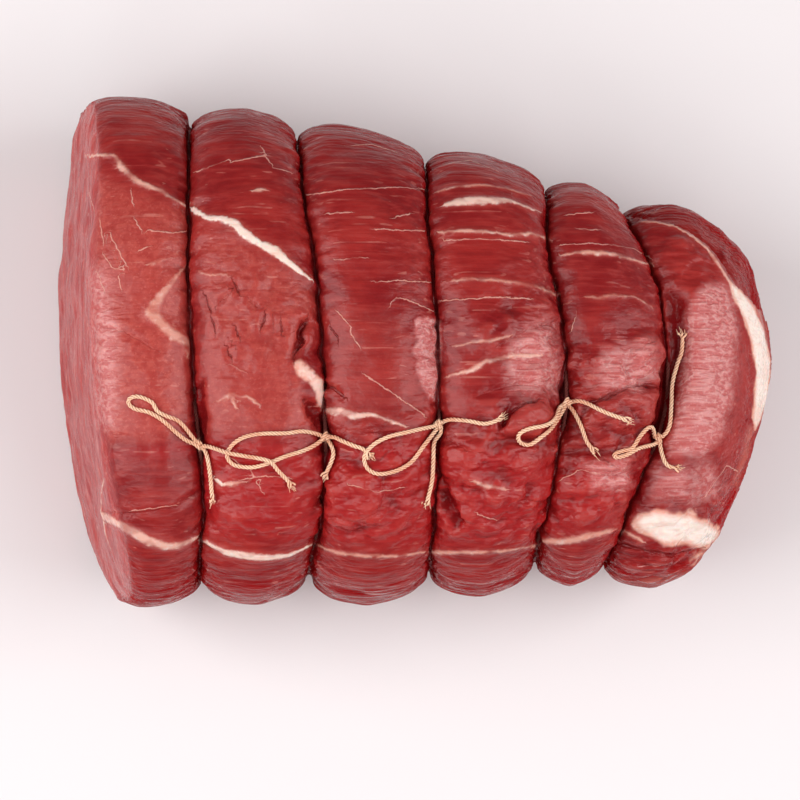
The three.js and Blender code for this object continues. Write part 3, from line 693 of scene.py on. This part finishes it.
# Tones, each a first colour and what lies over it: a field, its range, its most and a colour or tone.
tones = {}
for name, first, layers in [
        ("flat_muscle", "#a63a34", [
            (look["speckle"], 0.35, 0.7, 0.8, "#bd544a"), (look["cloud"], 0.45, 0.7, 0.5, "#a63c36"),
            (look["fine"], 0.55, 0.75, 0.3, "#d8786b")]),
        # Silverskin and painted sheen: pale pink with ribs of lighter colour.
        ("silverskin_and_sheen", "#c06462", [
            (look["ridge"], 0.42, 0.62, 0.7, "#de9f9b"), (look["fine"], 0.5, 0.75, 0.35, "#eab9b4")]),
        ("cut_muscle", "#981a1c", [
            (look["far_to_near"], 0.38, 0.66, 0.8, "#b43f3a"), (look["cloud"], 0.42, 0.62, 0.4, "#b03430"),
            (look["far_to_near"], 0.62, 0.76, 0.5, "#d08478")]),
        ("fat", "#dc9a88", [
            (read["seam_white"], 0.35, 0.95, 1.0, "#f1dfd3"), (read["fat_patch"], 0.6, 1.0, 1.0, "#eddbd1"),
            (look["blotch"], 0.48, 0.75, 0.5, "#e2ac9a"), (look["ridge"], 0.5, 0.7, 0.4, "#dcae9f"),
            (look["speckle"], 0.5, 0.8, 0.4, "#f6ebe3")]),
        ("beef", "#821215", [
            (look["cloud"], 0.38, 0.68, 1.0, "#98221f"), (look["blotch"], 0.45, 0.7, 0.35, "#a2302c"),
            (look["streak"], 0.47, 0.72, 0.4, "#aa3c37"), (look["streak"], 0.5, 0.3, 0.4, "#720c10"),
            (read["red"], 0.1, 0.9, 0.6, "#a9191b"),
            (read["pale"], 0.1, 0.9, 0.85, "flat_muscle"), (read["cut_end"], 0.1, 0.8, 1.0, "cut_muscle"),
            # Painted shade: darker on the steep sides and in hollows.
            (read["steep"], 0.2, 1.0, 0.8, "#920b0f"), (read["cavity_and_ridge_shading"], 0.05, 0.7, 0.6, "#6c0a0e"),
            # Painted highlight: lighter on ridges, and thin pale lines along the walls.
            (read["cavity_and_ridge_shading"], -0.1, -0.8, 0.3, "#c04a42"), (side_streak_highlight, 0.0, 1.0, 0.35, "#c67a74"),
            # Pale marbling flecks, then silverskin with painted sheen.
            (top_hair, 0.3, 0.8, 0.5, "#cf8377"), (skin_and_sheen_edge, 0.2, 0.95, 0.8, "silverskin_and_sheen"),
            (thread, 0.1, 0.9, 0.7, "#e0a394"), (blush, 0.0, 1.6, 0.5, "#c9655a"),
            (seam, 0.05, 0.95, 1.0, "fat"), (patch, 0.05, 0.9, 1.0, "fat"),
            (read["rosy"], 0.1, 0.9, 0.5, "#cc7a6c"),
            # Painted shade: darker in sunken places and along the grooves.
            (read["deep_shade"], 0.3, 1.0, 0.6, "#6c0a0e"), (read["groove"], 0.15, 1.0, 0.8, "#7c1216"),
            # Painted shade: darker in the creases and nicks.
            (crease, 0.2, 1.0, 0.55, "#6c0c0f")])]:
    tone = linear(first)
    for field, low, high, most, over in layers:
        share = add(nodes, "ShaderNodeMapRange", {
            "Value": field, "From Min": low, "From Max": high, "To Max": most},
            interpolation_type="SMOOTHSTEP")
        over = tones[over] if over in tones else linear(over)
        tone = add(nodes, "ShaderNodeMix", {0: share, 6: tone, 7: over}, out=2, data_type="RGBA")
    tones[name] = tone

# Relief too fine for the mesh, in millimetres; it has few finer layers, so the wet skin glints clearly.
lumps = add(nodes, "ShaderNodeMath", {0: read["bundle"], 1: 0.9, 2: 0.15}, operation="MULTIPLY_ADD")
lumps = add(nodes, "ShaderNodeMath", {0: lumps, 1: look["swell"]}, operation="MULTIPLY")
ridges = add(nodes, "ShaderNodeMath", {0: read["steep"], 1: 0.85, 2: 0.15}, operation="MULTIPLY_ADD")
ridges = add(nodes, "ShaderNodeMath", {0: ridges, 1: look["ridge"]}, operation="MULTIPLY")
ribs = add(nodes, "ShaderNodeMath", {0: read["skin_and_sheen"], 1: look["ridge"]}, operation="MULTIPLY")
height = add(nodes, "ShaderNodeMath", {0: look["speckle"], 1: 0.12}, operation="MULTIPLY")
for field, millimetres in [
        (lumps, 1.1), (ridges, 0.9), (ribs, 0.5), (seam, 0.25), (thread, 0.15), (crease, -0.4)]:
    height = add(nodes, "ShaderNodeMath", {0: field, 1: millimetres, 2: height}, operation="MULTIPLY_ADD")
relief = add(nodes, "ShaderNodeBump", {"Height": height, "Strength": 1.0, "Distance": 0.001})

# The sides are only wet along their ridges, so they shine in thin lines.
gloss = add(nodes, "ShaderNodeMapRange", {"Value": read["side"], "To Min": 0.34, "To Max": 0.16})
film = add(nodes, "ShaderNodeMapRange", {
    "Value": look["vein"], "From Min": 0.52, "From Max": 0.68, "To Max": 0.5})
dull = add(nodes, "ShaderNodeMapRange", {"Value": read["side"], "To Min": 0.45, "To Max": 0.02})
film = add(nodes, "ShaderNodeMath", {0: film, 1: read["wall"], 2: dull}, operation="MULTIPLY_ADD")
surface = add(nodes, "ShaderNodeBsdfPrincipled", {
    "Base Color": tones["beef"], "Roughness": gloss, "Normal": relief, "IOR": 1.4, "Specular IOR Level": film,
    "Subsurface Weight": 0.35, "Subsurface Radius": (1.0, 0.3, 0.2), "Subsurface Scale": 0.0015})
add(nodes, "ShaderNodeOutputMaterial", {"Surface": surface})
meat.data.materials.append(beef)
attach(meat, "root")
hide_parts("meat")


# Twine: three twisted plies along each tie's round, bow and tails

ground = tree_of(meat)


def rest_height(x, y, foot):
    """Height of the meat under a strand, the highest over its foot."""
    heights = []
    for i in range(9):
        reach = foot if i else 0.0
        start = Vector((x + reach * math.cos(i * math.pi / 4), y + reach * math.sin(i * math.pi / 4), 200))
        hit = ground.ray_cast(start, Vector((0, 0, -1)))[0]
        heights.append(hit.z if hit else 0.0)
    return max(heights)


def smooth_path(marks, step):
    """Evenly spaced points on a smooth curve through marks."""
    marks = np.asarray(marks, float)
    share = np.linspace(0, 1, len(marks) * 40)
    dense = np.stack([spline(column, share) for column in marks.T], -1)
    run = np.concatenate([[0], np.cumsum(np.linalg.norm(np.diff(dense, axis=0), axis=1))])
    stops = np.linspace(0, run[-1], max(int(run[-1] / step), 3))
    return np.stack([np.interp(stops, run, column) for column in dense.T], -1)


def laid(knot, offsets):
    """A strand's path lying on the meat along plan offsets from the knot."""
    path = smooth_path([(knot[0] + o[0], knot[1] + o[1], o[2] if len(o) > 2 else 0.0) for o in offsets], 1.2)
    rest = np.array([rest_height(x, y, 1.1) for x, y, _ in path])
    path[:, 2] += np.convolve(np.pad(rest, 2, mode="edge"), [0.1, 0.2, 0.4, 0.2, 0.1], "valid") + TWINE_RADIUS
    return path


def frames_along(path):
    """Directions ahead, sideways and upwards at each point of a path, without twist."""
    ahead = np.gradient(path, axis=0)
    ahead /= np.linalg.norm(ahead, axis=1)[:, None]
    across, sideways = np.cross(ahead[0], [0.3, 0.5, 0.8]), []
    for direction in ahead:
        across = across - direction * (across @ direction)
        across /= np.linalg.norm(across)
        sideways.append(across)
    sideways = np.array(sideways)
    return ahead, sideways, np.cross(ahead, sideways)


class Strands:
    """Collects the tubes of one tie into a mesh."""

    def __init__(self):
        self.points, self.faces, self.sunk, self.crown = [], [], [], []

    def tube(self, path, radius, sides, sunk, middle=None):
        _, sideways, upwards = frames_along(path)
        base, count = len(self.points), len(path)
        turn = np.arange(sides) * 2 * math.pi / sides
        spokes = np.cos(turn)[:, None] * sideways[:, None] + np.sin(turn)[:, None] * upwards[:, None]
        rings = path[:, None] + np.broadcast_to(radius, count)[:, None, None] * spokes
        self.points += rings.reshape(-1, 3).tolist()
        self.sunk += np.repeat(np.broadcast_to(sunk, count), sides).tolist()
        middle = path if middle is None else middle
        # Reach out from the twine's middle, read by the material as painted shade between the plies.
        reach = np.linalg.norm(rings - middle[:, None], axis=2) / TWINE_RADIUS
        self.crown += (reach if middle is not path else np.ones_like(reach)).ravel().tolist()
        for i in range(base, base + (count - 1) * sides, sides):
            for j in range(sides):
                a, b = i + j, i + (j + 1) % sides
                self.faces.append((a, b, b + sides, a + sides))
        self.faces.append(tuple(base + j for j in reversed(range(sides))))
        self.faces.append(tuple(base + (count - 1) * sides + j for j in range(sides)))

    def twine(self, marks, step, sunk=0.0, fray=None):
        path = smooth_path(marks, step)
        ahead, sideways, upwards = frames_along(path)
        run = np.concatenate([[0], np.cumsum(np.linalg.norm(np.diff(path, axis=0), axis=1))])
        sunk = np.atleast_1d(sunk)
        sunk = np.interp(np.linspace(0, 1, len(path)), np.linspace(0, 1, len(sunk)), sunk)
        apart = np.cross(ahead, [0.0, 0.0, 1.0])
        for ply in range(3):
            turn = 2 * math.pi * (run / PLY_PITCH + ply / 3)
            centre = path + PLY_OFFSET * (np.cos(turn)[:, None] * sideways + np.sin(turn)[:, None] * upwards)
            if fray is not None:
                open_end = np.clip((run - run[-1] + 2.4) / 2.4, 0, 1)[:, None] ** 1.6
                centre = centre + (ply - 1) * (0.75 + 0.25 * fray.random()) * open_end * apart
            self.tube(centre, PLY_RADIUS, 8, sunk, path)
        if fray is not None:
            for _ in range(9):
                shares = np.linspace(0, 1, 5)[:, None]
                start = path[-2] + fray.normal(0, 0.3, 3) + apart[-1] * fray.uniform(-0.8, 0.8)
                aim = (ahead[-1] + fray.normal(0, 0.3, 3) * [1, 1, 0.2]) * fray.uniform(0.6, 1.7)
                hair = start + aim * shares + fray.normal(0, 0.25, 3) * [1, 1, 0.3] * shares ** 2
                for point in hair:
                    point[2] = max(point[2], rest_height(point[0], point[1], 0.1) + 0.12)
                self.tube(hair, np.linspace(0.13, 0.06, 5), 4, 0.0)

    def piece(self, name):
        mesh = bpy.data.meshes.new(name)
        mesh.from_pydata((np.array(self.points) / 1000).tolist(), [], self.faces)
        piece = bpy.data.objects.new(name, mesh)
        bpy.context.collection.objects.link(piece)
        keep(piece, "sunk", self.sunk)
        keep(piece, "crown", self.crown)
        mesh.shade_smooth()
        return piece


# Butcher's twine: matt twisted cotton, cream and peach, with painted shade between its plies, and dark where
# it lies deep in its groove, partly soaked and partly painted shade.
# Cotton fibres are about 0.02 mm thick, too fine to show, so they are drawn coarser.
cotton = bpy.data.materials.new("cotton_twine")
cotton.use_nodes = True
nodes = cotton.node_tree
nodes.nodes.clear()
place = add(nodes, "ShaderNodeTexCoord", out="Object")
sunk = add(nodes, "ShaderNodeAttribute", out="Fac", attribute_name="sunk")
# Painted shade: darker where the plies turn inwards towards the twine's middle.
crown = add(nodes, "ShaderNodeAttribute", out="Fac", attribute_name="crown")
look = {}
for name, size in {"stain": 8.0, "fibre": 0.35}.items():
    scaled = add(nodes, "ShaderNodeMapping", {"Vector": place, "Scale": [1000 / size] * 3})
    look[name] = add(nodes, "ShaderNodeTexNoise", {
        "Vector": scaled, "Scale": 1.0, "Detail": 3.0, "Roughness": 0.6})
thread_tone = linear("#f4c8a4")
for field, low, high, most, over in [
        (look["stain"], 0.4, 0.68, 0.7, "#e09068"), (look["fibre"], 0.4, 0.75, 0.6, "#fae3d0"),
        # Painted shade between the plies, then the dark of the deep rounds, partly soaked and partly painted
        # shade.
        (crown, 0.92, 0.5, 0.85, "#a84c2c"), (sunk, 0.1, 0.9, 0.95, "#641013")]:
    share = add(nodes, "ShaderNodeMapRange", {
        "Value": field, "From Min": low, "From Max": high, "To Max": most},
        interpolation_type="SMOOTHSTEP")
    thread_tone = add(nodes, "ShaderNodeMix", {0: share, 6: thread_tone, 7: linear(over)}, out=2,
                      data_type="RGBA")
fuzz = add(nodes, "ShaderNodeBump", {"Height": look["fibre"], "Strength": 0.6, "Distance": 0.0002})
surface = add(nodes, "ShaderNodeBsdfPrincipled", {
    "Base Color": thread_tone, "Roughness": 0.85, "Normal": fuzz})
add(nodes, "ShaderNodeOutputMaterial", {"Surface": surface})

for number, (tie, foot) in enumerate(zip(TIES, KNOTS), 1):
    strands = Strands()
    fray = np.random.default_rng(number)
    knot = np.array([foot[0], foot[1], rest_height(foot[0], foot[1], 2.0) + TWINE_RADIUS + 0.2])
    steps = np.arange(0, 361, 2)
    ring = groove_floor(tie, np.radians(tie["knot"] + steps), TWINE_RADIUS - ROUND_SINK - SHOULDER_FALL)
    ring[:, 2] = np.maximum(ring[:, 2], TWINE_RADIUS)
    away = np.minimum(steps, 360 - steps)
    climb = np.exp(-(away / 3.0) ** 2)
    strands.twine(ring * (1 - climb[:, None]) + knot * climb[:, None], 0.7, np.clip(away / 4, 0, 1))
    start = (0, 0, 0.3)
    strands.twine(laid(knot, [start, *tie["bow"], start]), 0.45)
    for tail in tie["tails"]:
        strands.twine(laid(knot, [start, *tail]), 0.45, fray=fray)
    wrap = np.linspace(0, 2.6 * math.pi, 22)[:, None]
    lean = np.array([0.8, 0.6, 0.0]) if number % 2 else np.array([0.7, -0.7, 0.0])
    cross = np.array([-lean[1], lean[0], 0.0])
    loop = knot + 1.05 * (np.cos(wrap) * cross + np.sin(wrap) * [0, 0, 0.75])
    strands.twine(loop + np.linspace(-0.7, 0.7, 22)[:, None] * lean, 0.45)
    twine = strands.piece(f"twine_tie_{number}")
    twine.data.materials.append(cotton)
    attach(twine, "root")
    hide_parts(f"twine_{number}")


# Pale floor and soft studio light

bpy.ops.object.select_all(action="DESELECT")
bpy.ops.mesh.primitive_plane_add(size=4.0, location=(0, 0, 0))
floor = bpy.context.object
floor.name = "floor"
paper = bpy.data.materials.new("white_paper")
paper.use_nodes = True
paper.node_tree.nodes["Principled BSDF"].inputs["Base Color"].default_value = linear("#e6dfe0")
paper.node_tree.nodes["Principled BSDF"].inputs["Roughness"].default_value = 0.8
floor.data.materials.append(paper)

for name, location, size, power in [
        ("softbox_left", (-0.9, -0.05, 0.62), (0.9, 0.8), 8.0),
        ("softbox_right", (0.95, -0.05, 0.62), (0.9, 0.8), 6.5),
        ("strip_left", (-0.5, -0.1, 0.95), (0.9, 0.16), 2.6),
        ("strip_right", (0.5, -0.15, 0.95), (0.9, 0.16), 3.6),
        ("strip_near", (0.0, -0.75, 0.85), (1.0, 0.14), 1.8)]:
    data = bpy.data.lights.new(name, "AREA")
    data.shape = "RECTANGLE"
    data.size, data.size_y = size
    data.energy = power
    light = bpy.data.objects.new(name, data)
    light.location = location
    light.rotation_euler = (-Vector(location)).to_track_quat("-Z", "Y").to_euler()
    bpy.context.collection.objects.link(light)
world = bpy.data.worlds.new("studio")
world.use_nodes = True
world.node_tree.nodes["Background"].inputs["Color"].default_value = (1, 1, 1, 1)
world.node_tree.nodes["Background"].inputs["Strength"].default_value = 0.2
bpy.context.scene.world = world
bpy.context.scene.view_settings.view_transform = "Standard"
